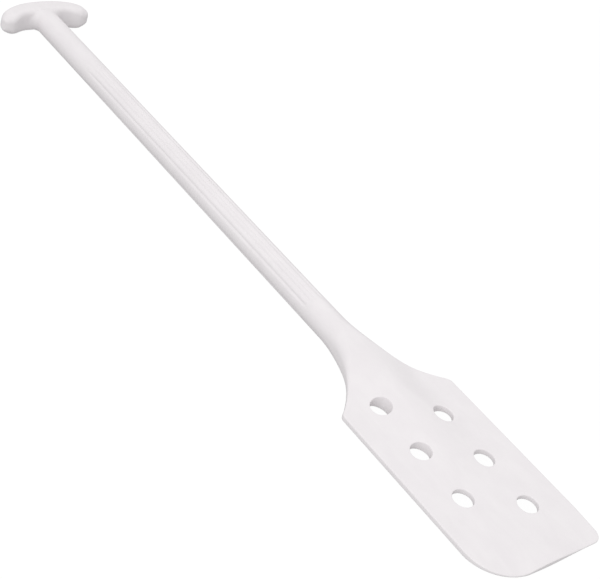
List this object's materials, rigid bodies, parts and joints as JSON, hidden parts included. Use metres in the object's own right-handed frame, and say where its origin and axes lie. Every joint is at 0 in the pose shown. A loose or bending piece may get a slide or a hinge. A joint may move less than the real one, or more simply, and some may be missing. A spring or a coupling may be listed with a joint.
{
  "type": "paint mixing paddle",
  "caption": "Hand-held paint mixing paddle moulded in one piece: T-grip, reeded shaft and flared neck running into a flat blade with staggered round holes.",
  "frame": {"origin": "middle of the overall length and width, at the lowest face of the paddle lying flat", "axes": "+Y along the paddle from the blade end towards the T-grip, +X across the blade, +Z out of the blade's face"},
  "size_m": [0.1524, 1.016, 0.034],
  "materials": {
    "polypropylene": "satin moulded"
  },
  "bodies": {
    "root": {"blade": "polypropylene", "neck": "polypropylene", "shaft": "polypropylene", "t_grip": "polypropylene"}
  },
  "joints": []
}
